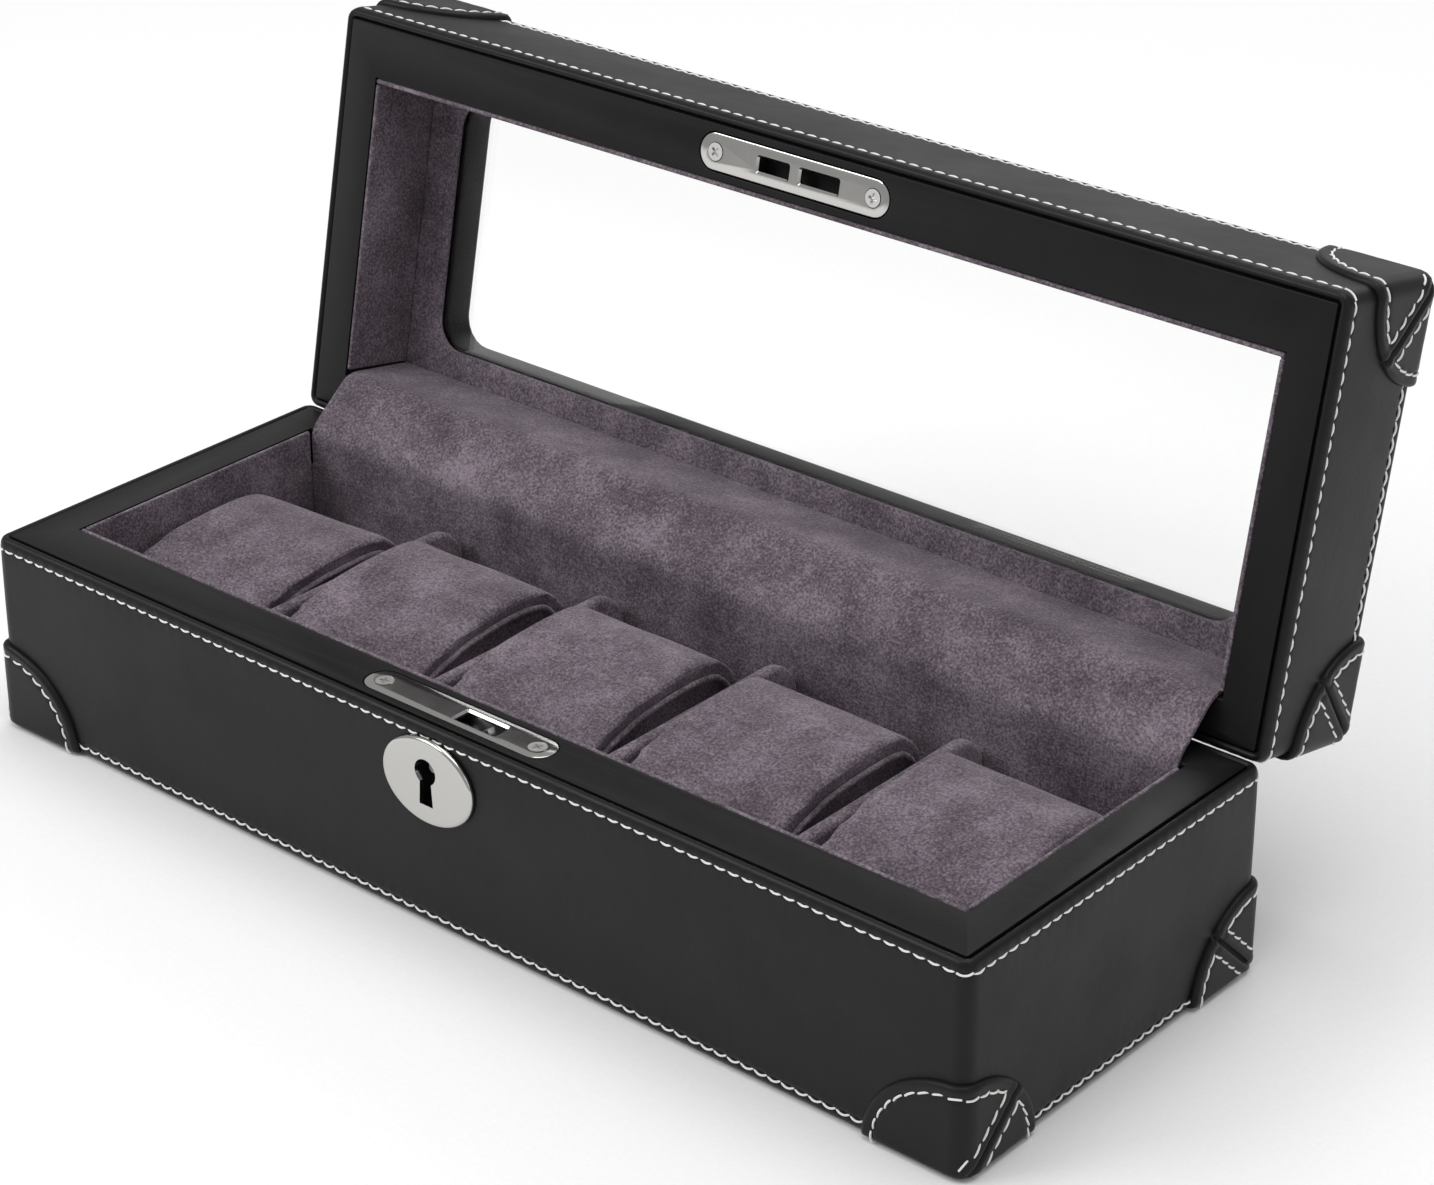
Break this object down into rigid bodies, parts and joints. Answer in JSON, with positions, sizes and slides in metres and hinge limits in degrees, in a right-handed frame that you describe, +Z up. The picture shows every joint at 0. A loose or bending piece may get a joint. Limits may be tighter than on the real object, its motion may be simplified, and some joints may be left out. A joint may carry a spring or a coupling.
{
  "type": "watch box",
  "caption": "Long leather-covered watch box with a lock, a hinged lid with a glass window, and a row of velvet pillows in divided compartments.",
  "frame": {"origin": "middle of the underside, where the box rests", "axes": "+X along the box to its right end, -Y out of the front with the lock, +Z up. Rest is the lid open on its stop."},
  "size_m": [0.3182, 0.1724, 0.1641],
  "materials": {
    "leather": "black, smooth, satin",
    "velvet": "grey-purple short pile",
    "pillow_velvet": "grey-purple short pile",
    "board": "bare fibreboard",
    "felt": "black felt",
    "nickel": "polished nickel plate",
    "steel": "plain steel",
    "glass": "clear"
  },
  "bodies": {
    "base": {"base_board_front": "board", "base_board_back": "board", "base_board_left": "board", "base_board_right": "board", "base_board_bottom": "board", "base_underside": "felt", "base_cover": "leather", "base_rim": "leather", "base_lining_front": "velvet", "base_lining_back": "velvet", "base_lining_left": "velvet", "base_lining_right": "velvet", "base_lining_floor": "velvet", "divider_1": "velvet", "divider_2": "velvet", "divider_3": "velvet", "divider_4": "velvet", "base_patch_front_left": "leather", "base_patch_front_right": "leather", "base_patch_back_left": "leather", "base_patch_back_right": "leather", "hinge_flap": "velvet", "hinge_left_base_leaf": "steel", "hinge_left_pin": "steel", "hinge_right_base_leaf": "steel", "hinge_right_pin": "steel", "lock_case": "steel", "lock_face_plate": "nickel", "lock_screw_left": "nickel", "lock_screw_right": "nickel", "escutcheon": "nickel"},
    "lid": {"lid_board_front": "board", "lid_board_back": "board", "lid_board_left": "board", "lid_board_right": "board", "lid_board_top": "board", "lid_cover": "leather", "lid_rim": "leather", "lid_lining_left": "velvet", "lid_lining_right": "velvet", "lid_lining_front": "velvet", "lid_lining_window": "velvet", "window_glass": "glass", "lid_patch_front_left": "leather", "lid_patch_front_right": "leather", "lid_patch_back_left": "leather", "lid_patch_back_right": "leather", "strike_plate": "nickel", "strike_screw_left": "nickel", "strike_screw_right": "nickel", "hinge_left_lid_leaf": "steel", "hinge_right_lid_leaf": "steel"},
    "hook_bolt": {"hook_bolt": "steel"},
    "pillow_1": {"pillow_1": "pillow_velvet"},
    "pillow_2": {"pillow_2": "pillow_velvet"},
    "pillow_3": {"pillow_3": "pillow_velvet"},
    "pillow_4": {"pillow_4": "pillow_velvet"},
    "pillow_5": {"pillow_5": "pillow_velvet"}
  },
  "joints": [
    {"name": "lid_hinge", "type": "hinge", "parent": "base", "child": "lid", "pos_m": [0, 0.05538, 0.0552], "axis": [-1, 0, 0], "range_deg": [-101.5, 0], "deforming": ["hinge_flap"]},
    {"name": "hook_turn", "type": "hinge", "parent": "base", "child": "hook_bolt", "pos_m": [0.001, -0.0463, 0.049], "axis": [0, -1, 0], "range_deg": [0, 98]},
    {"name": "pillow_1_lift", "type": "slide", "parent": "base", "child": "pillow_1", "axis": [0, 0, 1], "range_m": [0, 0.05]},
    {"name": "pillow_2_lift", "type": "slide", "parent": "base", "child": "pillow_2", "axis": [0, 0, 1], "range_m": [0, 0.05]},
    {"name": "pillow_3_lift", "type": "slide", "parent": "base", "child": "pillow_3", "axis": [0, 0, 1], "range_m": [0, 0.05]},
    {"name": "pillow_4_lift", "type": "slide", "parent": "base", "child": "pillow_4", "axis": [0, 0, 1], "range_m": [0, 0.05]},
    {"name": "pillow_5_lift", "type": "slide", "parent": "base", "child": "pillow_5", "axis": [0, 0, 1], "range_m": [0, 0.05]}
  ]
}
